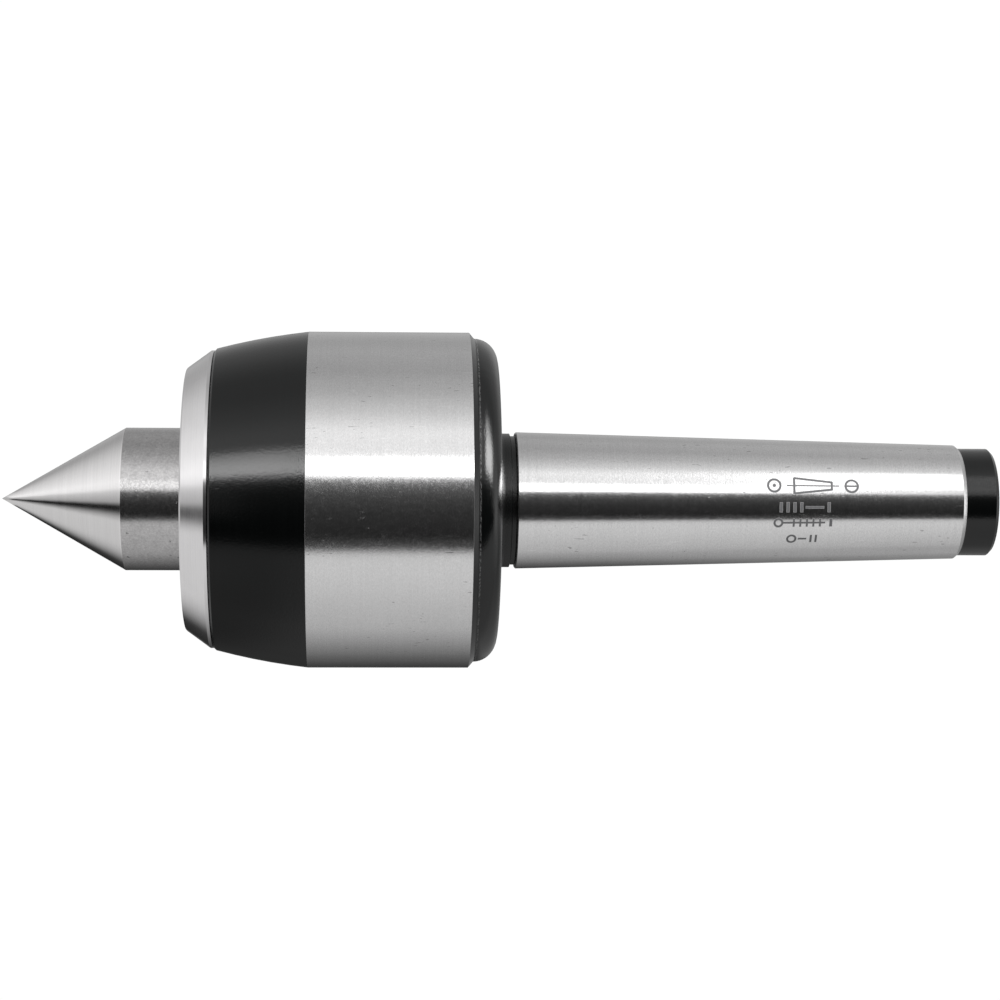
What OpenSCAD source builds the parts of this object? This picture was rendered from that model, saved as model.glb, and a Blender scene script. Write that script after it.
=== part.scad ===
// Live center for a lathe tailstock: a 60 degree point that spins on three bearings
// inside a head carried by a Morse No. 3 taper shank.
//
// Everything is turned about the X axis. The gauge plane of the taper is at X = 0,
// the shank runs towards +X and the point towards -X. Profiles are drawn as
// [radius, position along X], from the front backwards.

/* [Taper shank] */
// Diameter of the taper at its gauge plane
gauge_d = 23.825; // [19:0.005:29]
// Length in which the taper's diameter shrinks by 1 mm
taper_ratio = 19.922; // [16:0.001:24]
// Length of taper between the gauge plane and the neck
collar_len = 5; // [3:0.5:8]
// Length of taper between the gauge plane and the tail
taper_len = 73.7; // [50:0.1:95]
// How far the tail's surface lies under the end of the taper
tail_step = 0.57; // [0.2:0.01:1.5]
// Length of the unground tail
tail_len = 5.8; // [4:0.1:12]
// Chamfer round the tail's end face
tail_chamfer = 0.6; // [0.2:0.1:1.5]
// Mouth diameter of the centre hole in the tail
centre_hole_d = 8.4; // [5:0.1:11]

/* [Head] */
// Wall between the front bearing's seat and the ground band
head_wall = 8.5; // [7:0.1:16]
// Length of the ground band
ground_band_len = 28; // [22:0.5:50]
// Length of the convex band in front of it
front_band_len = 16.25; // [13:0.05:22]
// Wall round the cap's thread at the head's front
front_wall = 3.5; // [2.8:0.1:5]
// Length from the ground band to the head's rear face
rear_band_len = 4.9; // [3:0.1:9]
// How far the rear band's surface lies under the ground band
rear_step = 1.05; // [0.3:0.05:3]
// Rounding of the head's rear corner
rear_round = 4; // [1:0.1:8]
// Length of the neck between the head and the taper
neck_len = 3.3; // [2:0.1:8]
// How far the neck's surface lies under the start of the taper
neck_relief = 0.24; // [0.1:0.01:2]

/* [Front cap] */
// Length of the cap in front of the head
cap_len = 4.95; // [4:0.05:10]
// Thickness of the web in front of the seal
cap_web = 2.4; // [1.5:0.1:4]
// How far the thread stands outside the front bearing's seat
thread_step = 2; // [1.5:0.1:4]
// Thread pitch
thread_pitch = 1.5; // [1:0.25:2]
// Length of the threaded spigot
spigot_len = 7; // [5.5:0.1:10]
// Number of spanner holes in the cap's face
spanner_holes = 4; // [2:1:6]
// Diameter of a spanner hole
spanner_hole_d = 3.5; // [2:0.1:4.2]
// Metal left between a spanner hole's tip and the back of the cap's flange
spanner_floor = 0.6; // [0.4:0.1:1.5]

/* [Spindle] */
// Diameter of the spindle's nose
nose_d = 25; // [20.8:0.1:30]
// Length of the straight nose in front of the cap
nose_len = 10.7; // [4:0.1:40]
// Full angle of the point
point_angle = 60; // [50:1:90]
// Gap between the nose and the cap's bore, each side
nose_gap = 0.2; // [0.1:0.05:0.4]
// Diameter of the rear journal
journal_d = 12; // [10:0.5:14.5]

/* [Front ball bearing] */
// Bore
ball_bearing_bore = 20; // [16.5:0.5:24]
// Outer diameter
ball_bearing_od = 42; // [35:0.5:52]
// Width
ball_bearing_w = 12; // [10:0.5:15]
// Ball diameter as a share of the space between bore and outer diameter
ball_share = 0.577; // [0.48:0.001:0.7]

/* [Thrust bearing] */
// Step from the front bearing's seat down to the thrust bearing's seat
thrust_shoulder = 1.5; // [1:0.1:2.5]
// Step from the front bearing's housing seat down to the thrust bearing's pocket
pocket_shoulder = 3.5; // [2.5:0.1:4.5]
// Height
thrust_h = 12; // [10:0.5:15]
// Ball diameter as a share of the space between bore and outer diameter
thrust_ball_share = 0.75; // [0.6:0.01:0.8]

/* [Needle bearing] */
// Diameter of a needle
needle_d = 2; // [1.6:0.1:2.5]
// Length of the bearing
needle_len = 12; // [9:0.5:16]
// Wall of the drawn shell
shell_wall = 0.94; // [0.7:0.01:1.5]

/* [Shaft seal] */
// Radial height of the seal between the nose and its seat
seal_section = 5; // [4.2:0.1:6]
// Width of the seal
seal_w = 6; // [5:0.1:7.5]

/* [Hidden] */

smooth = 96;            // facets of a curve in the preview
past = 1;               // how far a cutting shape runs past what it cuts
seat = 0.01;            // radial gap of a ring pressed on its seat
rolling_gap = 0.03;     // gap between a rolling element and each of its tracks
pocket_gap = 0.15;      // gap between a rolling element and its cage
drill_half_angle = 59;
centre_half_angle = 30;

// ---------- radii that follow from the sizes above ----------

function taper_r(x) = (gauge_d - x / taper_ratio) / 2;

nose_r = nose_d / 2;
journal_r = journal_d / 2;
seat_r = ball_bearing_bore / 2;
bearing_r = ball_bearing_od / 2;
thrust_seat_r = seat_r - thrust_shoulder;
thrust_r = bearing_r - pocket_shoulder;
head_r = bearing_r + head_wall;
rear_r = head_r - rear_step;
thread_r = bearing_r + thread_step;
front_r = thread_r + front_wall;
rim_step = 0.4;         // from the head's front edge down to the cap's rim
cap_rim_r = front_r - rim_step;
neck_r = taper_r(-collar_len) - neck_relief;
tail_r = taper_r(taper_len) - tail_step;
seal_r = nose_r + seal_section;
needle_pitch_r = journal_r + rolling_gap + needle_d / 2;
needle_track_r = needle_pitch_r + needle_d / 2 + rolling_gap;
needle_shell_r = needle_track_r + shell_wall;

// ---------- stations along X ----------

x_taper_start = -collar_len;
x_head_rear = x_taper_start - neck_len;
x_ground_rear = x_head_rear - rear_band_len;
x_ground_front = x_ground_rear - ground_band_len;
x_head_front = x_ground_front - front_band_len;
x_cap_face = x_head_front - cap_len;
x_nose_base = x_cap_face - nose_len;
x_tip = x_nose_base - nose_r / tan(point_angle / 2);
x_taper_end = taper_len;
x_tail = x_taper_end + tail_len;

circlip_t = 1.2;
circlip_land = 1.8;     // what the seat runs on behind the circlip
disc_spring_t = 1.25;
disc_spring_rise = 0.55;
needle_setback = 0.8;   // how deep the needle bearing sits below the pocket's floor

x_seal_start = x_cap_face + cap_web;
x_seal_end = x_seal_start + seal_w;
x_bearing_start = x_head_front + spigot_len;
x_bearing_end = x_bearing_start + ball_bearing_w;
x_bearing = (x_bearing_start + x_bearing_end) / 2;
x_thrust_start = x_bearing_end + circlip_t + circlip_land;
x_thrust_end = x_thrust_start + thrust_h;
x_thrust = (x_thrust_start + x_thrust_end) / 2;
x_floor = x_thrust_end + disc_spring_t + disc_spring_rise;
x_needle_start = x_floor + needle_setback;
x_needle_end = x_needle_start + needle_len;
x_needle = (x_needle_start + x_needle_end) / 2;

// ---------- shared shapes ----------

// Turns a flat profile about the X axis.
module turned() {
    rotate([0, 90, 0]) rotate_extrude($fn = smooth) children();
}

// The section of a ring, with its outer corners cut off by oc and its inner ones by ic.
module ring_section(inner_r, outer_r, from, to, oc = 0, ic = 0) {
    polygon([
        [inner_r + ic, from], [outer_r - oc, from], [outer_r, from + oc], [outer_r, to - oc],
        [outer_r - oc, to], [inner_r + ic, to], [inner_r, to - ic], [inner_r, from + ic]
    ]);
}

module ring(inner_r, outer_r, from, to) {
    turned() translate([inner_r, from]) square([outer_r - inner_r, to - from]);
}

// A cylinder along +X from a station, off the axis by its height.
module rod(x, height, r, length) {
    translate([x, 0, height]) rotate([0, 90, 0]) cylinder(r = r, h = length, $fn = smooth);
}

// Repeats its children round the X axis, starting part of a step on.
module around(count, start = 0) {
    for (i = [0 : count - 1]) rotate([(i + start) * 360 / count, 0, 0]) children();
}

// How many things of one width fit round a pitch circle.
function fit_round(width, pitch_r) = floor(180 / asin(width / 2 / pitch_r));

// The half section of a 60 degree centre hole, from its mouth to the axis. side is 1 in a
// face that looks along +X and -1 in one that looks along -X.
function centre_hole(x_face, mouth_r, pilot_r, pilot_len, side) =
    let (x_cone = x_face - side * (mouth_r - pilot_r) / tan(centre_half_angle))
    let (x_pilot = x_cone - side * pilot_len)
    [
        [mouth_r, x_face], [pilot_r, x_cone], [pilot_r, x_pilot],
        [0, x_pilot - side * pilot_r / tan(drill_half_angle)]
    ];

// Centre of a circle of radius r through a and b, on the axis side of them.
function arc_centre(a, b, r) =
    let (chord = b - a, rise = sqrt(r * r - pow(norm(chord) / 2, 2)))
    (a + b) / 2 + [-chord[1], chord[0]] / norm(chord) * rise;

// ---------- cap thread ----------

thread_depth = 0.6134 * thread_pitch;
thread_gap = 0.08;
thread_root_r = thread_r - thread_depth;
thread_relief = 0.6;    // turned down to the root next to the flange
thread_end = 0.4;
x_thread = x_head_front + thread_relief;
thread_turns = floor((spigot_len - thread_relief - thread_end) / thread_pitch);

// Roots and crests, with the thread drawn as rings. A gap makes it the female thread.
function thread_points(gap) = [
    for (i = [0 : thread_turns - 1]) each [
        [thread_root_r + gap, x_thread + i * thread_pitch],
        [thread_r + gap, x_thread + (i + 0.5) * thread_pitch]
    ],
    [thread_root_r + gap, x_thread + thread_turns * thread_pitch]
];

// ---------- housing: head and taper shank in one piece ----------

front_bevel = 0.3;
thread_mouth = 0.5;
front_arc_r = 110;      // the front band's convex curve
rear_chamfer_len = 0.9;
rear_corner_r = min(rear_round, rear_band_len - rear_chamfer_len);
relief_len = 1;         // grinding relief in front of the taper
relief_depth = 0.45;
relief_flank = 0.15;
neck_fillet = min(1.2, (neck_len - relief_len) / 1.5);
taper_edge = 0.2;
taper_chamfer_len = 0.7;
bore_step = 0.6;        // how far the front bearing stands out of its seat
tail_bore_r = journal_r + 0.6;
tail_bore_len = 5;
tail_pilot_r = 2;
tail_pilot_len = 4.2;

module housing_outline() {
    band_front = [front_r, x_head_front + front_bevel];
    band_rear = [head_r, x_ground_front];
    rear_corner = [rear_r, x_head_rear] - [rear_corner_r, rear_corner_r];
    difference() {
        polygon([
            [0, x_head_front],
            [front_r - front_bevel, x_head_front],
            band_front,
            [head_r, x_head_front + front_bevel],
            [head_r, x_ground_rear],
            [rear_r, x_ground_rear + rear_chamfer_len],
            [rear_r, x_head_rear],
            [neck_r, x_head_rear],
            [neck_r, x_taper_start - relief_len],
            [neck_r - relief_depth, x_taper_start - relief_len + relief_flank],
            [neck_r - relief_depth, x_taper_start - relief_flank],
            [taper_r(x_taper_start) - taper_edge, x_taper_start],
            [taper_r(x_taper_start + taper_edge), x_taper_start + taper_edge],
            [taper_r(x_taper_end - taper_chamfer_len), x_taper_end - taper_chamfer_len],
            [tail_r, x_taper_end],
            [tail_r, x_tail - tail_chamfer],
            [tail_r - tail_chamfer, x_tail],
            each centre_hole(x_tail, centre_hole_d / 2, tail_pilot_r, tail_pilot_len, 1)
        ]);
        difference() {
            translate([0, x_head_front]) square([head_r + past, front_band_len]);
            translate(arc_centre(band_front, band_rear, front_arc_r)) circle(r = front_arc_r, $fn = 720);
        }
        difference() {
            translate(rear_corner) square(rear_corner_r + past);
            translate(rear_corner) circle(r = rear_corner_r, $fn = smooth);
        }
    }
    difference() {
        translate([neck_r - past, x_head_rear - past]) square(neck_fillet + past);
        translate([neck_r, x_head_rear] + [neck_fillet, neck_fillet]) circle(r = neck_fillet, $fn = smooth);
    }
}

module housing_bore() {
    polygon([
        [0, x_head_front - past],
        [thread_r + thread_mouth, x_head_front - past],
        [thread_r + thread_mouth, x_head_front],
        each thread_points(thread_gap),
        [thread_root_r + thread_gap, x_bearing_start + bore_step],
        [bearing_r + seat, x_bearing_start + bore_step],
        [bearing_r + seat, x_bearing_end],
        [thrust_r + seat, x_bearing_end],
        [thrust_r + seat, x_floor],
        [needle_shell_r + seat, x_floor],
        [needle_shell_r + seat, x_needle_end],
        [tail_bore_r, x_needle_end],
        [tail_bore_r, x_needle_end + tail_bore_len],
        [0, x_needle_end + tail_bore_len + tail_bore_r / tan(drill_half_angle)]
    ]);
}

module housing() {
    color("silver") turned() difference() {
        housing_outline();
        housing_bore();
    }
}

// ---------- front cap, screwed into the head ----------

cap_edge = 0.25;
cap_land = 0.5;         // straight rim behind the cone
cap_rim_edge = 0.12;
flange_gap = 0.1;       // seam left when the spigot clamps the bearing
x_flange = x_head_front - flange_gap;
spanner_wall = 1.05;    // between the seal's seat and a spanner hole
face_wall = 1.15;       // between a spanner hole and the edge of the face
spanner_r = seal_r + spanner_wall + spanner_hole_d / 2;
cap_face_r = spanner_r + spanner_hole_d / 2 + face_wall;
spigot_bore_r = seal_r + 0.3;
nose_bore_r = nose_r + nose_gap;

module spanner_hole() {
    r = spanner_hole_d / 2;
    drill_tip = r / tan(drill_half_angle);
    x_drill_tip = x_flange - spanner_floor - drill_tip;
    rod(x_cap_face - past, spanner_r, r, x_drill_tip - x_cap_face + past);
    translate([x_drill_tip, 0, spanner_r]) rotate([0, 90, 0])
        cylinder(r1 = r, r2 = 0, h = drill_tip, $fn = smooth);
}

module front_cap() {
    color("gainsboro") difference() {
        turned() polygon([
            [nose_bore_r, x_cap_face + cap_edge],
            [nose_bore_r + cap_edge, x_cap_face],
            [cap_face_r - cap_edge, x_cap_face],
            [cap_face_r, x_cap_face + cap_edge],
            [cap_rim_r, x_flange - cap_rim_edge - cap_land],
            [cap_rim_r, x_flange - cap_rim_edge],
            [cap_rim_r - cap_rim_edge, x_flange],
            [thread_root_r, x_flange],
            each thread_points(0),
            [thread_root_r, x_bearing_start],
            [spigot_bore_r, x_bearing_start],
            [spigot_bore_r, x_seal_end],
            [seal_r + seat, x_seal_end],
            [seal_r + seat, x_seal_start],
            [nose_bore_r, x_seal_start]
        ]);
        around(spanner_holes, 0.5) spanner_hole();
    }
}

// ---------- shaft seal in the cap ----------

lip_gap = 0.05;         // from a lip's edge to the nose
seal_skin = 0.9;        // rubber round the steel case
seal_front = 1.4;
case_t = 0.5;
case_foot = 3.2;        // how far the case stops from the nose
garter_wire_r = 0.55;
garter_r = nose_r + 2.25;
x_garter = x_seal_start + 4.3;

module seal_rubber() {
    color("#202224") turned() difference() {
        polygon([
            [nose_r + 0.6, x_seal_start],
            [seal_r - 0.3, x_seal_start],
            [seal_r, x_seal_start + 0.3],
            [seal_r, x_seal_end],
            [seal_r - seal_skin, x_seal_end],
            [seal_r - seal_skin, x_seal_start + seal_front],
            [nose_r + 1.5, x_seal_start + seal_front],
            [nose_r + 1.5, x_garter - 1.5],
            [nose_r + 2.1, x_garter - 0.9],
            [nose_r + 2.1, x_garter + 0.6],
            [nose_r + 1.3, x_garter + 0.6],
            [nose_r + lip_gap, x_garter - 0.2],
            [nose_r + 0.7, x_garter - 1.5],
            [nose_r + 0.7, x_seal_start + 1.3],
            [nose_r + 2 * lip_gap, x_seal_start + 0.3]
        ]);
        translate([garter_r, x_garter]) circle(r = garter_wire_r, $fn = smooth);
    }
}

module seal_case() {
    inner_r = nose_r + case_foot;
    outer_r = seal_r - seal_skin;
    x_case = x_seal_start + seal_front;
    color("lightsteelblue") turned() polygon([
        [inner_r, x_case], [outer_r, x_case], [outer_r, x_seal_end - case_t],
        [outer_r - case_t, x_seal_end - case_t], [outer_r - case_t, x_case + case_t], [inner_r, x_case + case_t]
    ]);
}

module seal_garter_spring() {
    color("silver") turned() translate([garter_r, x_garter]) circle(r = garter_wire_r, $fn = smooth);
}

// ---------- front ball bearing ----------

shield_t = 0.4;
shield_in = 0.5;        // how far a shield lies inside the bearing's face
shield_gap = 0.25;
cage_t = 0.7;
cup_play = 0.25;        // between the cage's cups and the shields
widest_ball_d = ball_bearing_w - 2 * (shield_in + shield_t + cup_play + cage_t + pocket_gap);
ball_d = min(ball_share * (bearing_r - seat_r), widest_ball_d);
ball_pitch_r = (seat_r + bearing_r) / 2;
ball_track_r = 0.52 * ball_d;
land = 0.3 * ball_d;    // from the pitch circle to each ring's shoulder
ball_reach = ball_d / 2 + rolling_gap;
inner_land_r = ball_pitch_r - land;
outer_land_r = ball_pitch_r + land;
ring_chamfer = 0.6;
shield_seat_r = outer_land_r + 0.8;
cage_band = 0.23 * ball_d;
rivet_r = 0.45;
rivet_head_r = 0.75;
rivet_head_t = 0.3;
ball_spacing = ball_d + 2 * (pocket_gap + cage_t + rivet_head_r) + 0.3;
ball_count = fit_round(ball_spacing, ball_pitch_r);

module front_bearing_outer_ring() {
    recess = shield_in + shield_t;
    color("lightgray") turned() difference() {
        ring_section(outer_land_r, bearing_r, x_bearing_start, x_bearing_end, oc = ring_chamfer);
        translate([ball_pitch_r + ball_reach - ball_track_r, x_bearing]) circle(r = ball_track_r, $fn = smooth);
        for (x = [x_bearing_start - past, x_bearing_end - recess])
            translate([outer_land_r - past, x]) square([shield_seat_r - outer_land_r + past, recess + past]);
    }
}

module front_bearing_inner_ring() {
    color("lightgray") turned() difference() {
        ring_section(seat_r, inner_land_r, x_bearing_start, x_bearing_end, oc = 0.2, ic = ring_chamfer);
        translate([ball_pitch_r - ball_reach + ball_track_r, x_bearing]) circle(r = ball_track_r, $fn = smooth);
    }
}

module front_bearing_shields() {
    color("silver") for (x = [x_bearing_start + shield_in, x_bearing_end - shield_in - shield_t])
        ring(inner_land_r + shield_gap, shield_seat_r, x, x + shield_t);
}

module front_bearing_balls() {
    color("whitesmoke") around(ball_count)
        translate([x_bearing, 0, ball_pitch_r]) sphere(d = ball_d, $fn = smooth);
}

// One pressed half of the ribbon cage: flats for the rivets and a cup over each ball.
module cage_half(side) {
    cup_r = ball_d / 2 + pocket_gap;
    in_r = ball_pitch_r - cage_band;
    out_r = ball_pitch_r + cage_band;
    half_w = cup_r + cage_t + past;
    x_half = side > 0 ? x_bearing : x_bearing - half_w;
    x_flat = side > 0 ? x_bearing : x_bearing - cage_t;
    difference() {
        union() {
            ring(in_r, out_r, x_flat, x_flat + cage_t);
            intersection() {
                ring(in_r, out_r, x_half, x_half + half_w);
                around(ball_count) translate([x_bearing, 0, in_r - past])
                    cylinder(r = cup_r + cage_t, h = out_r - in_r + 2 * past, $fn = smooth);
            }
        }
        around(ball_count) translate([x_bearing, 0, in_r - 2 * past])
            cylinder(r = cup_r, h = out_r - in_r + 4 * past, $fn = smooth);
        around(ball_count, 0.5) rod(x_flat - past, ball_pitch_r, rivet_r, cage_t + 2 * past);
    }
}

module front_cage_front_half() {
    color("darkgray") cage_half(-1);
}

module front_cage_rear_half() {
    color("darkgray") cage_half(1);
}

module front_cage_rivets() {
    color("gray") around(ball_count, 0.5) {
        rod(x_bearing - cage_t - rivet_head_t, ball_pitch_r, rivet_head_r, rivet_head_t);
        rod(x_bearing - cage_t - rivet_head_t, ball_pitch_r, rivet_r, 2 * (cage_t + rivet_head_t));
        rod(x_bearing + cage_t, ball_pitch_r, rivet_head_r, rivet_head_t);
    }
}

// ---------- thrust ball bearing and its disc spring ----------

washer_floor = 1.2;     // least metal behind a washer's track
thrust_ball_d = min(thrust_ball_share * (thrust_r - thrust_seat_r), thrust_h - 2 * washer_floor);
thrust_pitch_r = (thrust_seat_r + thrust_r) / 2;
thrust_track_r = 0.54 * thrust_ball_d;
thrust_reach = thrust_ball_d / 2 + rolling_gap;
thrust_track_depth = 0.18 * thrust_ball_d;
washer_t = thrust_h / 2 - thrust_reach + thrust_track_depth;
washer_play = 0.3;      // the shaft washer's gap in the pocket, each side
washer_bore_step = 1;   // how much wider the housing washer's bore is, each side
washer_chamfer = 0.4;
thrust_cage_t = 2.4;
thrust_cage_gap = 0.6;
thrust_ball_count = fit_round(thrust_ball_d + 2 * pocket_gap + 1.4, thrust_pitch_r);
disc_spring_play = 0.3;

module thrust_washer(inner_r, outer_r, from, side) {
    turned() difference() {
        ring_section(inner_r, outer_r, from, from + washer_t, oc = washer_chamfer, ic = washer_chamfer);
        translate([thrust_pitch_r, x_thrust + side * (thrust_reach - thrust_track_r)])
            circle(r = thrust_track_r, $fn = smooth);
    }
}

module thrust_shaft_washer() {
    color("lightgray") thrust_washer(thrust_seat_r, thrust_r - washer_play, x_thrust_start, -1);
}

module thrust_housing_washer() {
    color("lightgray")
        thrust_washer(thrust_seat_r + washer_bore_step, thrust_r, x_thrust_end - washer_t, 1);
}

module thrust_bearing_balls() {
    color("whitesmoke") around(thrust_ball_count)
        translate([x_thrust, 0, thrust_pitch_r]) sphere(d = thrust_ball_d, $fn = smooth);
}

module thrust_bearing_cage() {
    color("darkgoldenrod") difference() {
        ring(thrust_seat_r + washer_bore_step + 0.3, thrust_r - thrust_cage_gap,
             x_thrust - thrust_cage_t / 2, x_thrust + thrust_cage_t / 2);
        around(thrust_ball_count) translate([x_thrust, 0, thrust_pitch_r])
            sphere(r = thrust_ball_d / 2 + pocket_gap, $fn = smooth);
    }
}

module disc_spring() {
    inner_r = thrust_seat_r + washer_bore_step + washer_chamfer;
    outer_r = thrust_r - disc_spring_play;
    color("slategray") turned() polygon([
        [inner_r, x_thrust_end], [outer_r, x_floor - disc_spring_t],
        [outer_r, x_floor], [inner_r, x_thrust_end + disc_spring_t]
    ]);
}

// ---------- needle bearing behind the pocket ----------

shell_lip_t = 0.8;
shell_lip_gap = 0.35;
needle_cage_gap = 0.1;
needle_cage_rim = 0.8;
cage_wall = 0.55 * needle_d;
cage_span = needle_len - 2 * (shell_lip_t + needle_cage_gap);
window_len = cage_span - 2 * needle_cage_rim;
needle_roller_len = window_len - 2 * pocket_gap;
needle_count = fit_round(needle_d + 2 * pocket_gap + 1.15, needle_pitch_r);

module needle_bearing_shell() {
    color("silver") turned() difference() {
        ring_section(journal_r + shell_lip_gap, needle_shell_r, x_needle_start, x_needle_end, oc = 0.5);
        translate([0, x_needle_start + shell_lip_t]) square([needle_track_r, needle_len - 2 * shell_lip_t]);
    }
}

module needle_rollers() {
    color("whitesmoke") around(needle_count)
        rod(x_needle - needle_roller_len / 2, needle_pitch_r, needle_d / 2, needle_roller_len);
}

module needle_cage() {
    color("dimgray") difference() {
        ring(needle_pitch_r - cage_wall / 2, needle_pitch_r + cage_wall / 2,
             x_needle - cage_span / 2, x_needle + cage_span / 2);
        around(needle_count)
            rod(x_needle - window_len / 2, needle_pitch_r, needle_d / 2 + pocket_gap, window_len);
    }
}

// ---------- spindle ----------

groove_r = seat_r - 0.5;
groove_play = 0.1;
collar_r = inner_land_r - 0.4;      // the collar that the front bearing's inner ring rests on
collar_gap = 0.6;       // from the seal to the collar
collar_chamfer = 0.4;
journal_out = 2.5;      // how far the journal runs out of the needle bearing
journal_lead = 0.6;
thrust_seat_len = 5;
waist_r = thrust_seat_r - 0.5;

module spindle() {
    x_end = x_needle_end + journal_out;
    x_clip_groove = x_bearing_end + circlip_t + groove_play;
    color("silver") turned() polygon([
        [0, x_tip],
        [nose_r, x_nose_base],
        [nose_r, x_seal_end + collar_gap],
        [collar_r - collar_chamfer, x_seal_end + collar_gap],
        [collar_r, x_seal_end + collar_gap + collar_chamfer],
        [collar_r, x_bearing_start - collar_chamfer],
        [collar_r - collar_chamfer, x_bearing_start],
        [seat_r - seat, x_bearing_start],
        [seat_r - seat, x_bearing_end],
        [groove_r, x_bearing_end],
        [groove_r, x_clip_groove],
        [seat_r - seat, x_clip_groove],
        [seat_r - seat, x_thrust_start],
        [thrust_seat_r - seat, x_thrust_start],
        [thrust_seat_r - seat, x_thrust_start + thrust_seat_len],
        [waist_r, x_thrust_start + thrust_seat_len],
        [waist_r, x_thrust_end],
        [journal_r, x_floor],
        [journal_r, x_end - journal_lead],
        [journal_r - journal_lead, x_end],
        each centre_hole(x_end, 2.4, 1, 1.6, 1)
    ]);
}

// ---------- circlip behind the front bearing's inner ring ----------

clip_root_w = 2.6;      // width of the clip opposite its gap
clip_end_w = 1.5;
clip_gap_angle = 26;    // from the middle of the gap to a lug
lug_r = 1.9;
lug_hole_r = 0.9;

module spindle_circlip() {
    clip_in = groove_r + seat;
    clip_out = clip_in + (clip_root_w + clip_end_w) / 2;
    offset_y = (clip_root_w - clip_end_w) / 2;
    lug_at = clip_in + lug_r;
    color("#3a3c3f") translate([x_bearing_end, 0, 0]) rotate([0, 90, 0]) linear_extrude(circlip_t) difference() {
        union() {
            translate([0, -offset_y]) circle(r = clip_out, $fn = smooth);
            for (a = [-clip_gap_angle, clip_gap_angle])
                rotate(90 + a) translate([lug_at, 0]) circle(r = lug_r, $fn = smooth);
        }
        circle(r = clip_in, $fn = smooth);
        polygon([
            [0, 0],
            2 * clip_out * [cos(90 + clip_gap_angle - 5), sin(90 + clip_gap_angle - 5)],
            2 * clip_out * [cos(90 - clip_gap_angle + 5), sin(90 - clip_gap_angle + 5)]
        ]);
        for (a = [-clip_gap_angle, clip_gap_angle])
            rotate(90 + a) translate([lug_at, 0]) circle(r = lug_hole_r, $fn = smooth);
    }
}

housing();
front_cap();
seal_rubber();
seal_case();
seal_garter_spring();
front_bearing_outer_ring();
front_bearing_shields();
thrust_housing_washer();
disc_spring();
needle_bearing_shell();
spindle();
front_bearing_inner_ring();
spindle_circlip();
thrust_shaft_washer();
front_bearing_balls();
front_cage_front_half();
front_cage_rear_half();
front_cage_rivets();
thrust_bearing_balls();
thrust_bearing_cage();
needle_rollers();
needle_cage();
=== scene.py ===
import math

import bmesh
import bpy
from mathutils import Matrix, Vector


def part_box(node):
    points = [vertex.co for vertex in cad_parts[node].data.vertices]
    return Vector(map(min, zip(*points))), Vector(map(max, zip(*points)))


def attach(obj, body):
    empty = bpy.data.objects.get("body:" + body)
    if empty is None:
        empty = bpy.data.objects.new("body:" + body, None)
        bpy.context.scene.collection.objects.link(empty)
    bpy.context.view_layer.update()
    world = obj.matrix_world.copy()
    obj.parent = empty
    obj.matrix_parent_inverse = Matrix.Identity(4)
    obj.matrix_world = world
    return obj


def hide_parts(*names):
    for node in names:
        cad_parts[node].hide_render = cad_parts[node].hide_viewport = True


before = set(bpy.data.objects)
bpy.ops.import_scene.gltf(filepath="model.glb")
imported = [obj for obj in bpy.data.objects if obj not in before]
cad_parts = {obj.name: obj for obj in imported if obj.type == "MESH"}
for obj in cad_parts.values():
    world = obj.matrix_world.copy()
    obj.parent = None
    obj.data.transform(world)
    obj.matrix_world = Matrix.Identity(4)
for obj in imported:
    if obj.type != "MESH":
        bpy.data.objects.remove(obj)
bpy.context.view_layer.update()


# ---- Camera ----
# A long lens half a metre in front of the head, level with the axis, so that the point
# lies at the left and the shank at the right.
camera_data = bpy.data.cameras.new("camera")
camera_data.lens = 96.36
camera_data.sensor_width = 36
camera = bpy.data.objects.new("camera", camera_data)
camera.location = (-0.0308, -0.47203, -0.00136)
tilt, roll, pan = 0.003, -0.0036, -0.0493
camera.rotation_euler = (math.pi / 2 + tilt, roll, pan)
bpy.context.scene.collection.objects.link(camera)
bpy.context.scene.camera = camera
bpy.context.scene.view_settings.view_transform = "Standard"


# ---- Studio light ----
# The surroundings that the steel mirrors: a white tent and table, a dark opening for the
# lens, a strip lamp above it and a square lamp at each side. The height round the axis is
# in degrees, 0 towards the lens and 90 straight up.
class Field:
    """A value that changes over a surface, and takes plain arithmetic."""

    def __init__(self, shader, socket):
        self.shader, self.socket = shader, socket

    def math(self, operation, *values):
        return self.shader.node("ShaderNodeMath", {"operation": operation}, dict(enumerate(values)))

    def __add__(self, other): return self.math("ADD", self, other)
    def __radd__(self, other): return self.math("ADD", other, self)
    def __sub__(self, other): return self.math("SUBTRACT", self, other)
    def __rsub__(self, other): return self.math("SUBTRACT", other, self)
    def __mul__(self, other): return self.math("MULTIPLY", self, other)
    def __rmul__(self, other): return self.math("MULTIPLY", other, self)
    def __truediv__(self, other): return self.math("DIVIDE", self, other)
    def __pow__(self, other): return self.math("POWER", self, other)
    def __neg__(self): return self.math("MULTIPLY", self, -1)
    def __abs__(self): return self.math("ABSOLUTE", self)

    def over(self, start, end):
        """0 up to start, 1 from end on, and a smooth step between them."""
        return self.shader.node(
            "ShaderNodeMapRange", {"interpolation_type": "SMOOTHSTEP"},
            {0: self, 1: start, 2: end, 3: 0.0, 4: 1.0})

    def between(self, low, high, soft):
        """1 from low to high, with soft edges."""
        return self.over(low - soft, low + soft) * (1 - self.over(high - soft, high + soft))

    def along(self, stops):
        """The brightness at this value, read from (value, brightness) stops."""
        first, last = stops[0][0], stops[-1][0]
        top = max(level for _, level in stops)
        ramp = [((at - first) / (last - first), (level / top,) * 3 + (1,)) for at, level in stops]
        place = (self - first) / (last - first)
        return self.shader.node("ShaderNodeValToRGB", {"stops": ramp}, {0: place}) * top


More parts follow.
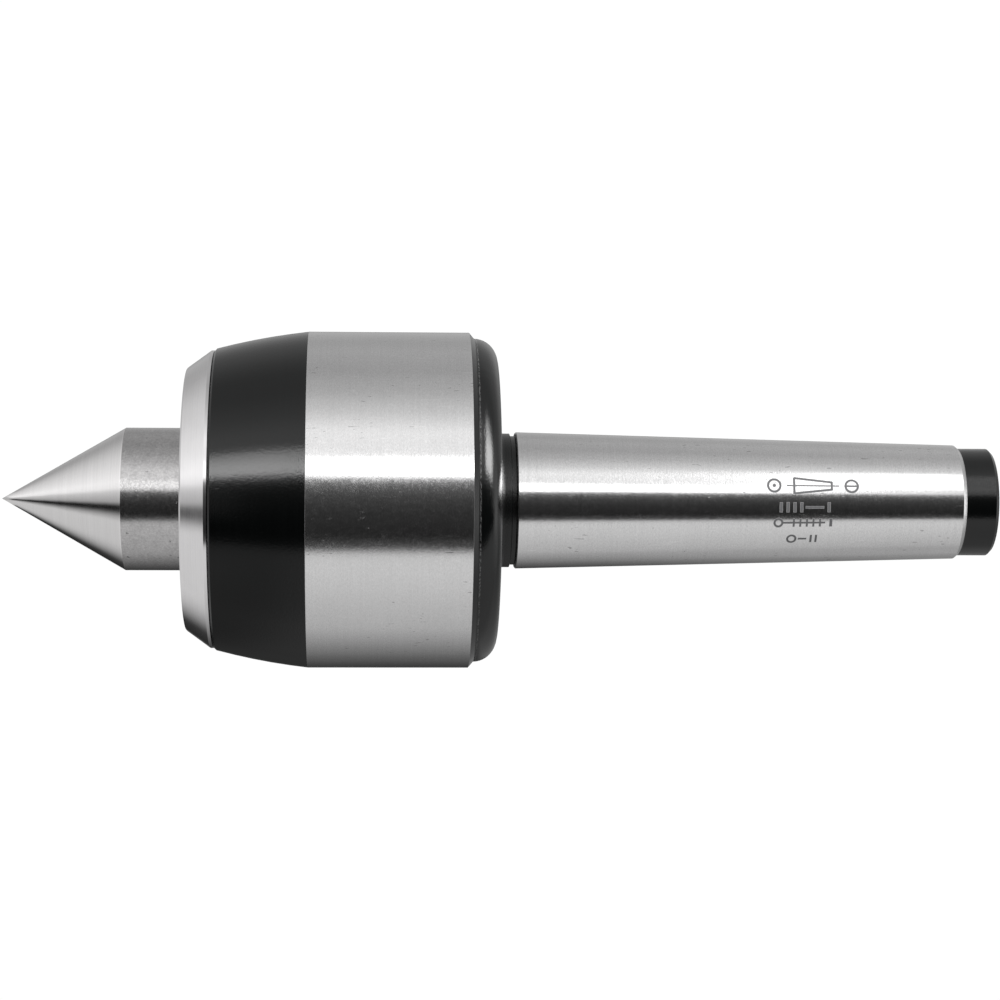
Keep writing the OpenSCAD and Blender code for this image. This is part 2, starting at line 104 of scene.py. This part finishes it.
class Shader:
    """The nodes of one finish. Lengths over a surface are in millimetres."""

    def __init__(self, tree):
        self.tree = tree
        tree.nodes.clear()

    def node(self, kind, settings, values, output=0):
        node = self.tree.nodes.new(kind)
        for name, setting in settings.items():
            if name == "stops":
                ramp = node.color_ramp.elements
                for at, colour in setting[1:-1]:
                    ramp.new(at).color = colour
                ramp[0].color, ramp[-1].color = setting[0][1], setting[-1][1]
            else:
                setattr(node, name, setting)
        for name, value in values.items():
            if isinstance(value, Field):
                self.tree.links.new(value.socket, node.inputs[name])
            else:
                node.inputs[name].default_value = value
        return Field(self, node.outputs[output]) if node.outputs else None

    def split(self, vector):
        return [self.node("ShaderNodeSeparateXYZ", {}, {0: vector}, i) for i in range(3)]


world = bpy.data.worlds.new("studio")
world.use_nodes = True
bpy.context.scene.world = world
studio = Shader(world.node_tree)
side, depth, height = studio.split(studio.node("ShaderNodeTexCoord", {}, {}, "Generated"))
round_axis = height.math("ARCTAN2", height, -depth) * (180 / math.pi)
middle = round_axis.along([
    (-180, 0.25), (-165, 0.04), (-150, 0.09), (-136, 0.17), (-120, 0.33), (-107, 0.5),
    (-97, 0.64), (-86, 0.7), (-60, 0.84), (-46, 0.9), (-39, 0.88), (-36, 0.7), (-33, 0.1),
    (-25, 0.022), (-8, 0.04), (2, 0.07), (8, 0.13), (12.5, 0.3), (15, 1.1), (26, 1.3),
    (38, 1.27), (46, 1.32), (53, 1.12), (61, 0.9), (69, 0.77), (78, 0.62), (87, 0.57),
    (97, 0.5), (120, 0.55), (136, 0.49), (160, 0.52), (180, 0.3)])
ends = round_axis.along([
    (-180, 0.6), (-140, 0.85), (-100, 0.86), (-58, 0.9), (-47, 0.58), (-40, 0.28),
    (-34, 0.08), (-28, 0.01), (-20, 0.01), (-14, 0.25), (-8, 0.56), (5, 0.72), (18, 0.9),
    (24, 1.1), (30, 1.35), (45, 1.45), (70, 1.25), (98, 1.0), (130, 0.72), (180, 0.5)])
strip_lamp = round_axis.between(15.5, 28, 1.2) * side.between(-0.052, 0.212, 0.004)
strip_end = round_axis.between(26, 56, 5) * side.between(0.212, 0.3, 0.008)
left_lamp = round_axis.between(17, 35, 1.0) * side.between(-0.68, -0.2, 0.03)
left_lamp = left_lamp * (1.2 - 0.75 * round_axis.over(17, 38))
right_lamp = round_axis.over(18, 27) * (1 - round_axis.over(42, 78))
right_lamp = right_lamp * side.between(0.52, 0.9, 0.06)
right_wall = 1 + 0.14 * side.over(0.06, 0.24) * round_axis.over(20, 60)
right_floor = 0.24 * side.over(0.04, 0.24) * (1 - round_axis.over(-128, -100))
left_shade = 1 - 0.5 * (-side).over(0.1, 0.3) * (1 - round_axis.over(-20, 0))
to_ends = (-side).over(0.4, 0.75) + side.over(0.85, 0.96)
to_pole = abs(side).over(0.955, 0.995)
round_light = (middle * right_wall * left_shade + right_floor) * (1 - to_ends) + ends * to_ends
light = round_light * (1 - to_pole) + to_pole * (1.1 + 0.4 * side)
for power, lamp in ((1.7, strip_lamp), (1.8, strip_end), (7.5, left_lamp), (16, right_lamp)):
    light = light + power * lamp
glow = studio.node("ShaderNodeBackground", {}, {"Color": light, "Strength": 1.0})
studio.node("ShaderNodeOutputWorld", {}, {"Surface": glow})


# ---- Floor and backdrop ----
# A plain white table top just below the head, and a white backdrop all round it. They are
# seen by the camera only, so they neither light the steel nor show in it.
floor_half, floor_gap = 3, 0.0003
backdrop_r = 4
paper_white = 1.02


def stage_piece(name, build):
    mesh = bpy.data.meshes.new(name)
    form = bmesh.new()
    build(form)
    form.to_mesh(mesh)
    form.free()
    piece = bpy.data.objects.new(name, mesh)
    bpy.context.scene.collection.objects.link(piece)
    paper = bpy.data.materials.new(name)
    paper.use_nodes = True
    paper.cycles.emission_sampling = "NONE"
    shader = Shader(paper.node_tree)
    white = shader.node("ShaderNodeEmission", {}, {"Color": (1, 1, 1, 1), "Strength": paper_white})
    shader.node("ShaderNodeOutputMaterial", {}, {"Surface": white})
    mesh.materials.append(paper)
    for ray in ("diffuse", "glossy", "transmission", "volume_scatter", "shadow"):
        setattr(piece, "visible_" + ray, False)


def lay_floor(form):
    bmesh.ops.create_grid(form, x_segments=1, y_segments=1, size=floor_half)
    floor_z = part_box("housing")[0].z - floor_gap
    bmesh.ops.translate(form, verts=form.verts, vec=(0, 0, floor_z))


def hang_backdrop(form):
    bmesh.ops.create_icosphere(form, subdivisions=3, radius=backdrop_r)
    bmesh.ops.reverse_faces(form, faces=form.faces)


stage_piece("floor", lay_floor)
stage_piece("backdrop", hang_backdrop)


# ---- Housing ----
# Head and taper shank in one piece of hardened steel. The head's middle band and the taper
# are ground bright, and the turned surfaces between them stay black oxide. A block of
# generic signs is laser marked on the shank.
class Finish(Shader):
    """A material on one piece, in that piece's own coordinates."""

    def __init__(self, name):
        self.material = bpy.data.materials.new(name)
        self.material.use_nodes = True
        super().__init__(self.material.node_tree)
        self.place = self.node("ShaderNodeTexCoord", {}, {}, "Object")
        self.x, self.y, self.z = (value * 1000 for value in self.split(self.place))
        self.radius = (self.y * self.y + self.z * self.z) ** 0.5

    def noise(self, along, across, detail=2.0, rough=0.5, seed=0.0):
        """Noise with so many grains per millimetre along the axis and across it."""
        scale = (along * 1000, across * 1000, across * 1000)
        shift = (seed, seed * 1.7, -seed)
        place = self.node(
            "ShaderNodeMapping", {}, {"Vector": self.place, "Scale": scale, "Location": shift})
        return self.node("ShaderNodeTexNoise", {}, {
            "Vector": place, "Scale": 1.0, "Detail": detail, "Roughness": rough})

    def grain(self, first, second, third, detail=3.0):
        """Noise read at three values, so that its grain runs along what they leave out."""
        place = self.node("ShaderNodeCombineXYZ", {}, {0: first, 1: second, 2: third})
        return self.node(
            "ShaderNodeTexNoise", {}, {"Vector": place, "Scale": 1.0, "Detail": detail})

    def blend(self, first, second, share):
        """A colour share of the way from the first to the second."""
        mix = {"data_type": "RGBA", "clamp_factor": True}
        colours = {0: share}
        for slot, colour in ((6, first), (7, second)):
            colours[slot] = colour if isinstance(colour, Field) else (*colour, 1.0)
        return self.node("ShaderNodeMix", mix, colours, 2)

    def tint(self, colour, level):
        """A colour times a level."""
        return self.node(
            "ShaderNodeVectorMath", {"operation": "SCALE"}, {0: colour, "Scale": level})

    def relief(self, height, depth):
        """The normal of a surface whose height field spans depth, in millimetres."""
        return self.node(
            "ShaderNodeBump", {}, {"Height": height, "Strength": 1.0, "Distance": depth / 1000})

    def lay_on(self, node_name, **sockets):
        """Ends the material and puts it on a CAD node."""
        surface = self.node("ShaderNodeBsdfPrincipled", {}, {
            name.replace("_", " ").title().replace("Ior", "IOR"): value
            for name, value in sockets.items()})
        self.node("ShaderNodeOutputMaterial", {}, {"Surface": surface})
        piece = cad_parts[node_name] if isinstance(node_name, str) else node_name
        for slot in piece.material_slots:
            slot.material = self.material


head_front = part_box("housing")[0].x * 1000
tail_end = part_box("housing")[1].x * 1000
front_band_len, ground_band_len, rear_band_len = 16.25, 28, 4.9
chamfer_len, neck_len, tail_len = 0.9, 3.3, 5.8
ground_front = head_front + front_band_len
ground_rear = ground_front + ground_band_len
chamfer_foot = ground_rear + chamfer_len
neck_front = ground_rear + rear_band_len
taper_start = neck_front + neck_len
taper_end = tail_end - tail_len

steel = Finish("ground_and_blackened_steel")
# Bare metal in the bores: the wide ones in the head, then the narrow ones up to the tail.
inside = 1 - steel.radius.over(23.5, 23.7)
inside = inside * (1 - steel.x.over(neck_front - 0.1, neck_front))
inside = inside.math("MAXIMUM", inside, 1 - steel.radius.over(6.8, 6.9))
band = steel.x.between(ground_front, ground_rear - 0.02, 0.03)
taper = steel.x.between(taper_start + 0.05, taper_end - 0.03, 0.04)
ground = band.math("MAXIMUM", band, taper)

fine_grain = steel.noise(5.0, 0.05, 3, 0.6)
coarse_grain = steel.noise(1.4, 0.03, 2, 0.5, 3.0)
cloud = steel.noise(0.06, 0.09, 3, 0.5, 5.0)
speckle = steel.noise(5.0, 2.6, 2, 0.6, 7.0)
streaks = fine_grain * 0.6 + coarse_grain * 0.4

# Fine nicks and rubs of handling. The nicks gather in patches.
nick_patch = steel.noise(0.12, 0.12, 1, 0.5, 13.0).over(0.48, 0.56)
nick = steel.noise(0.8, 2.6, 0, 0.5, 11.0).over(0.77, 0.8) * nick_patch
rub = steel.noise(0.25, 1.1, 2, 0.5, 17.0).over(0.64, 0.74)

# The laser marks, in millimetres along the shank and round it.
shank_r_at_marks = 10.75
mark_setback = 51
u = steel.x - (taper_start + mark_setback)
v = steel.z.math("ARCTAN2", steel.z, -steel.y) * shank_r_at_marks


def stroke(distance, width=0.38):
    return 1 - abs(distance).over(width / 2 - 0.05, width / 2 + 0.07)


def line(u_mid, v_mid, length, width=0.38):
    return stroke(v - v_mid, width) * stroke(u - u_mid, length)


def post(u_mid, v_mid, tall, width=0.38):
    return stroke(u - u_mid, width) * stroke(v - v_mid, tall)


def ring_mark(u_mid, v_mid, r, width=0.38):
    across, up = u - u_mid, v - v_mid
    return stroke((across * across + up * up) ** 0.5 - r, width)


def join(*marks):
    total = marks[0]
    for mark in marks[1:]:
        total = total.math("MAXIMUM", total, mark)
    return total


top_v, second_v, third_v, last_v = 2.73, -1.05, -3.78, -6.98
lean = (v - top_v).math("ABSOLUTE", v - top_v) + (u - 0.75) * 0.11
taper_sign = join(
    stroke(lean - 0.98) * stroke(u - 0.4, 6.6), post(-2.9, top_v, 2.9), post(3.7, top_v, 1.6))
centre_line = line(0.4, top_v, 9.2, 0.22)
top_row = join(
    taper_sign, centre_line,
    ring_mark(-6.4, top_v, 1.08), ring_mark(-6.4, top_v, 0.1, 0.4),
    ring_mark(7.2, top_v, 1.08), line(7.2, top_v, 2.6, 0.3))
second_row = join(
    *[post(-5.2 + 1.2 * i, second_v, 1.7, 0.5) for i in range(4)],
    line(0.7, second_v, 3.2), post(3.2, second_v, 1.7, 0.5))
third_row = join(
    line(-1.2, third_v, 7.6, 0.34), ring_mark(-5.6, third_v, 0.68, 0.36),
    *[post(-2.9 + 1.15 * i, third_v, 1.5, 0.34) for i in range(5)],
    post(3.6, third_v, 1.5, 0.5))
last_row = join(
    ring_mark(-3.1, last_v, 0.72, 0.36), line(-1.2, last_v, 1.5, 0.36),
    post(0.3, last_v, 1.6, 0.36), post(1.2, last_v, 1.6, 0.36))
marks = join(top_row, second_row, third_row, last_row) * (1 - steel.y.over(-1, 1))

ground_level = 0.60 + 0.1 * (streaks - 0.5) + 0.06 * (cloud - 0.5)
ground_level = ground_level + 0.2 * (speckle - 0.5) - 0.2 * nick + 0.03 * rub
ground_colour = steel.tint((1.0, 0.995, 0.997), ground_level)
worn_foot = steel.x.between(chamfer_foot + 0.12, chamfer_foot + 0.36, 0.06)
worn_foot = worn_foot * speckle.over(0.42, 0.58)
black_colour = steel.blend((0.0003, 0.0004, 0.0004), (0.0016, 0.002, 0.002), streaks)
bare_colour = steel.tint((0.42, 0.41, 0.39), 0.8 + 0.5 * (streaks - 0.5))
bright = ground.math("MAXIMUM", ground, 0.1 * worn_foot)
colour = steel.blend(black_colour, ground_colour, bright)
colour = steel.blend(colour, bare_colour, inside)
colour = steel.blend(colour, (0.085, 0.085, 0.088), marks * taper)
metal = bright.math("MAXIMUM", bright, inside) * (1 - 0.96 * marks * taper)
mottle = steel.noise(0.8, 1.4, 3, 0.6, 29.0)
ground_rough = 0.125 + 0.04 * (streaks - 0.5) + 0.16 * (speckle - 0.5)
ground_rough = ground_rough + 0.14 * (mottle - 0.5) + 0.12 * nick
neck = steel.x.between(neck_front - 0.4, taper_start, 0.2)
crackle = steel.noise(5.0, 2.4, 2, 0.6, 23.0)
black_rough = 0.13 + 0.12 * (crackle - 0.5) + 0.06 * (speckle - 0.5) + 0.16 * neck
rough = ground_rough * ground + black_rough * (1 - ground)
rough = rough + 0.12 * inside + 0.4 * marks * taper
surface_height = 0.8 * speckle + 0.6 * streaks + 0.5 * mottle - 0.4 * nick - 0.3 * marks
surface_height = surface_height + (2.6 * crackle + 2.0 * neck * speckle) * (1 - ground)
steel.lay_on(
    "housing", base_color=colour, metallic=metal, roughness=rough, ior=1.42,
    normal=steel.relief(surface_height, 0.006))


# ---- Needle bearing: shell ----
# The drawn cup that is pressed into the bottom of the head's bore. Thin sheet steel, drawn,
# case hardened and left plain, with faint draw lines along it.
draw_lines = Finish("pressed_steel")
lines = draw_lines.noise(0.3, 6.0, 2, 0.5)
haze = draw_lines.noise(0.4, 0.4, 3, 0.6, 2.0)
draw_lines.lay_on(
    "needle_bearing_shell",
    base_color=draw_lines.tint((0.5, 0.49, 0.47), 0.9 + 0.2 * lines), metallic=1.0,
    roughness=0.26 + 0.12 * haze, normal=draw_lines.relief(lines, 0.002))


# ---- Needle bearing: rollers ----
# Thin through-hardened rollers that run on the spindle's rear journal. They are barrel
# lapped, so they shine all over and have no visible grain.
def polished(name, seed):
    """Lapped bearing steel with a trace of haze and of dried oil."""
    mirror = Finish(name)
    haze = mirror.noise(1.2, 1.2, 3, 0.55, seed)
    oil = mirror.noise(0.35, 0.35, 2, 0.5, seed + 4).over(0.5, 0.68)
    colour = mirror.blend((0.66, 0.66, 0.65), (0.6, 0.585, 0.54), oil)
    return mirror, dict(
        base_color=colour, metallic=1.0, roughness=0.045 + 0.05 * haze + 0.05 * oil,
        normal=mirror.relief(haze, 0.0006))


rollers, roller_look = polished("polished_steel_needles", 1.0)
rollers.lay_on("needle_rollers", **roller_look)


# ---- Needle bearing: cage ----
# A thin pressed strip with a window for each roller, phosphated to a dull grey so that it
# holds the grease.
needle_cage = Finish("phosphated_cage")
crystals = needle_cage.noise(14.0, 14.0, 3, 0.65)
needle_cage.lay_on(
    "needle_cage", base_color=needle_cage.tint((0.3, 0.3, 0.29), 0.75 + 0.5 * crystals),
    metallic=0.85, roughness=0.38 + 0.2 * crystals, normal=needle_cage.relief(crystals, 0.004))


# ---- Disc spring ----
# A dished spring washer under the thrust bearing that keeps it preloaded. Stamped from
# spring steel strip, with the brown-blue tone that hardening and oiling leave.
disc_spring = Finish("spring_steel")
temper = disc_spring.noise(0.25, 0.25, 3, 0.6)
strip_grain = disc_spring.noise(0.1, 3.0, 3, 0.6, 3.0)
disc_spring.lay_on(
    "disc_spring",
    base_color=disc_spring.blend((0.2, 0.17, 0.15), (0.13, 0.15, 0.19), temper.over(0.35, 0.65)),
    metallic=1.0, roughness=0.28 + 0.12 * strip_grain,
    normal=disc_spring.relief(strip_grain, 0.002))


# ---- Thrust bearing: washers ----
# One washer sits in the head and one on the spindle, each with a ground groove for the
# balls. Through-hardened bearing steel, face ground, so the grain runs round the axis.
def bearing_ring(name, seed):
    """Ground bearing steel whose grain runs round the axis."""
    ring = Finish(name)
    grain = ring.grain(ring.radius * 4, ring.x * 4, seed)
    haze = ring.noise(0.3, 0.3, 3, 0.5, seed)
    return ring, dict(
        base_color=ring.tint((0.63, 0.628, 0.615), 0.9 + 0.16 * grain + 0.06 * haze),
        metallic=1.0, roughness=0.1 + 0.1 * grain + 0.04 * haze,
        normal=ring.relief(grain, 0.0012))


for place, name in enumerate(("thrust_housing_washer", "thrust_shaft_washer")):
    washer, washer_look = bearing_ring("bearing_steel_" + name, 3.0 * place)
    washer.lay_on(name, **washer_look)


# ---- Thrust bearing: balls ----
# Lapped chrome steel balls that carry the end load between the two washers. The cage
# keeps them apart.
thrust_balls, thrust_ball_look = polished("polished_steel_thrust_balls", 7.0)
thrust_balls.lay_on("thrust_bearing_balls", **thrust_ball_look)


# ---- Thrust bearing: cage ----
# A solid ring of machined brass with a drilled pocket for each ball. The turning lines
# show on its faces, and handling has dulled it a little.
brass = Finish("cage_brass")
turning = brass.grain(brass.radius * 5, brass.x * 5, 1.0, detail=2.0)
dull = brass.noise(0.35, 0.35, 4, 0.6, 2.0)
brass.lay_on(
    "thrust_bearing_cage", metallic=1.0,
    base_color=brass.blend((0.78, 0.56, 0.26), (0.55, 0.38, 0.18), dull.over(0.4, 0.75)),
    roughness=0.2 + 0.12 * turning + 0.14 * dull, normal=brass.relief(turning, 0.004))


# ---- Front bearing: rings ----
# The two rings of the deep groove ball bearing behind the cap. The outer one is pressed
# into the head and the inner one on the spindle.
for place, name in enumerate(("front_bearing_outer_ring", "front_bearing_inner_ring")):
    race, race_look = bearing_ring("bearing_steel_" + name, 20.0 + 3 * place)
    race.lay_on(name, **race_look)


# ---- Front bearing: balls ----
# Lapped chrome steel balls that run in the grooves of both rings and hold the point true
# to the axis.
front_balls, front_ball_look = polished("polished_steel_front_balls", 12.0)
front_balls.lay_on("front_bearing_balls", **front_ball_look)


# ---- Front bearing: cage ----
# Two waved ribbons pressed from cold rolled strip, which meet between the balls and are
# riveted together there. The press leaves them satin, with brighter crests.
for place, name in enumerate(("front_cage_front_half", "front_cage_rear_half")):
    ribbon = Finish("pressed_steel_" + name)
    orange_peel = ribbon.noise(2.2, 2.2, 3, 0.55, 4.0 * place)
    rolled = ribbon.noise(0.5, 5.0, 2, 0.5, 1.0 + place)
    ribbon.lay_on(
        name, metallic=1.0, base_color=ribbon.tint((0.56, 0.55, 0.53), 0.85 + 0.3 * rolled),
        roughness=0.22 + 0.14 * orange_peel, normal=ribbon.relief(orange_peel, 0.004))

rivets = Finish("rivet_steel")
hammered = rivets.noise(3.0, 3.0, 3, 0.6)
rivets.lay_on(
    "front_cage_rivets", metallic=1.0,
    base_color=rivets.tint((0.58, 0.575, 0.56), 0.8 + 0.35 * hammered),
    roughness=0.2 + 0.16 * hammered, normal=rivets.relief(hammered, 0.006))


# ---- Front bearing: shields ----
# A thin pressed sheet on each side that snaps into the outer ring and keeps grease in and
# swarf out. Bright rolled sheet, with the press's rings faintly marked in it.
shields = Finish("pressed_steel_shields")
rings = shields.grain(shields.radius * 2.2, 0.0, 5.0)
sheet = shields.noise(1.5, 0.4, 3, 0.6)
shields.lay_on(
    "front_bearing_shields", metallic=1.0,
    base_color=shields.tint((0.55, 0.55, 0.54), 0.85 + 0.25 * sheet),
    roughness=0.2 + 0.15 * rings, normal=shields.relief(rings, 0.004))


# ---- Spindle ----
# The turning part: point, nose, bearing seats and journal in one piece of hardened tool
# steel. The cone is ground, the nose behind it keeps a satin, faintly pitted skin.
point_len = 21.65
nose_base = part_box("spindle")[0].x * 1000 + point_len
point = Finish("point_steel")
on_cone = 1 - point.x.over(nose_base - 0.06, nose_base + 0.02)
edge = point.x.between(nose_base - 0.22, nose_base + 0.05, 0.05)
cone_grain = point.grain(point.x * 6, point.y * 0.06, point.z * 0.06)
skin = point.noise(2.6, 2.6, 3, 0.62)
blotch = point.noise(0.9, 0.5, 3, 0.55, 4.0)
pit = point.noise(1.6, 1.6, 0, 0.5, 9.0).over(0.8, 0.83)
cone_level = 0.6 + 0.1 * (cone_grain - 0.5)
nose_level = 0.43 + 0.3 * (skin - 0.5) + 0.14 * (blotch - 0.5) - 0.2 * pit
level = cone_level * on_cone + nose_level * (1 - on_cone) + 0.05 * edge
nose_rough = 0.1 + 0.14 * skin + 0.1 * pit
point_rough = (0.085 + 0.05 * cone_grain) * on_cone + nose_rough * (1 - on_cone)
nose_height = skin * 0.9 + blotch * 0.6 - pit
point_height = cone_grain * on_cone * 0.4 + nose_height * (1 - on_cone)
point.lay_on(
    "spindle", base_color=point.tint((1.0, 0.985, 0.985), level), metallic=1.0,
    roughness=point_rough, normal=point.relief(point_height, 0.007))


# ---- Circlip ----
# The retaining ring that snaps into the spindle's groove behind the front bearing. Stamped
# spring steel, blackened and oiled.
circlip = Finish("blackened_spring_steel")
oxide = circlip.noise(5.0, 5.0, 3, 0.6)
circlip.lay_on(
    "spindle_circlip", metallic=0.3, ior=1.6,
    base_color=circlip.blend((0.01, 0.011, 0.012), (0.04, 0.04, 0.042), oxide),
    roughness=0.25 + 0.2 * oxide, normal=circlip.relief(oxide, 0.003))


# ---- Front cap ----
# The nut that closes the head and clamps the front bearing: a turned cone with a short
# straight rim, a face with four spanner holes and a threaded spigot. Satin turned steel.
cap = Finish("satin_steel")
feed = cap.grain(cap.radius * 5.5, cap.x * 0.8, 2.0)
brushed = cap.noise(0.35, 0.35, 3, 0.55, 3.0)
cap_speckle = cap.noise(4.0, 2.0, 2, 0.6, 6.0)
cap_level = 0.64 + 0.08 * (feed - 0.5) + 0.05 * (brushed - 0.5)
cap.lay_on(
    "front_cap", metallic=1.0, base_color=cap.tint((1.0, 0.985, 0.992), cap_level),
    roughness=0.11 + 0.06 * (feed - 0.5) + 0.04 * (cap_speckle - 0.5),
    normal=cap.relief(feed * 0.7 + cap_speckle * 0.3, 0.002))


# ---- Shaft seal ----
# A nitrile lip seal pressed into the cap: black moulded rubber bonded round a stamped
# steel case, with a garter spring that holds the lip on the nose.
rubber = Finish("seal_rubber")
moulding = rubber.noise(6.0, 6.0, 3, 0.6)
bloom = rubber.noise(0.4, 0.4, 3, 0.5, 4.0)
rubber.lay_on(
    "seal_rubber", metallic=0.0, ior=1.52,
    base_color=rubber.blend((0.012, 0.012, 0.013), (0.03, 0.03, 0.031), bloom),
    roughness=0.42 + 0.2 * moulding, normal=rubber.relief(moulding, 0.01))

case = Finish("pressed_steel_case")
phosphate = case.noise(9.0, 9.0, 3, 0.65)
case.lay_on(
    "seal_case", metallic=0.9,
    base_color=case.tint((0.3, 0.3, 0.295), 0.75 + 0.5 * phosphate),
    roughness=0.32 + 0.2 * phosphate, normal=case.relief(phosphate, 0.004))


# ---- Garter spring ----
# A close-wound coil of thin spring wire whose ends hook together into a ring. It lies in
# the groove behind the seal's lip.
garter_low, garter_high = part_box("seal_garter_spring")
coil_r = (garter_high.x - garter_low.x) / 2
garter_x = (garter_high.x + garter_low.x) / 2
garter_r = garter_high.z - coil_r
wire_r = 0.00014
turn_pitch = 2.15 * wire_r
turns = round(2 * math.pi * garter_r / turn_pitch)
wire_path = bpy.data.curves.new("garter_spring", "CURVE")
wire_path.dimensions = "3D"
wire_path.bevel_depth = wire_r
wire_path.bevel_resolution = 0
spline = wire_path.splines.new("POLY")
per_turn = 9
spline.points.add(turns * per_turn - 1)
spline.use_cyclic_u = True
wind_r = coil_r - wire_r
for i, spot in enumerate(spline.points):
    wind = 2 * math.pi * i / per_turn
    sweep = 2 * math.pi * i / (turns * per_turn)
    out = garter_r + wind_r * math.cos(wind)
    along = garter_x + wind_r * math.sin(wind)
    spot.co = (along, out * math.sin(sweep), out * math.cos(sweep), 1)
wire = bpy.data.objects.new("garter_wire_path", wire_path)
bpy.context.scene.collection.objects.link(wire)
bpy.context.view_layer.update()
wound = bpy.data.meshes.new_from_object(wire)
bpy.data.objects.remove(wire)
garter = bpy.data.objects.new("garter_spring_coil", wound)
bpy.context.scene.collection.objects.link(garter)
for face in wound.polygons:
    face.use_smooth = True
garter_finish = Finish("spring_wire")
wound.materials.clear()
wound.materials.append(garter_finish.material)
drawn = garter_finish.noise(4.0, 4.0, 2, 0.5)
garter_finish.lay_on(
    garter, metallic=1.0, base_color=garter_finish.tint((0.45, 0.43, 0.4), 0.8 + 0.4 * drawn),
    roughness=0.2 + 0.15 * drawn, normal=garter_finish.relief(drawn, 0.001))
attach(garter, "housing")
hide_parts("seal_garter_spring")
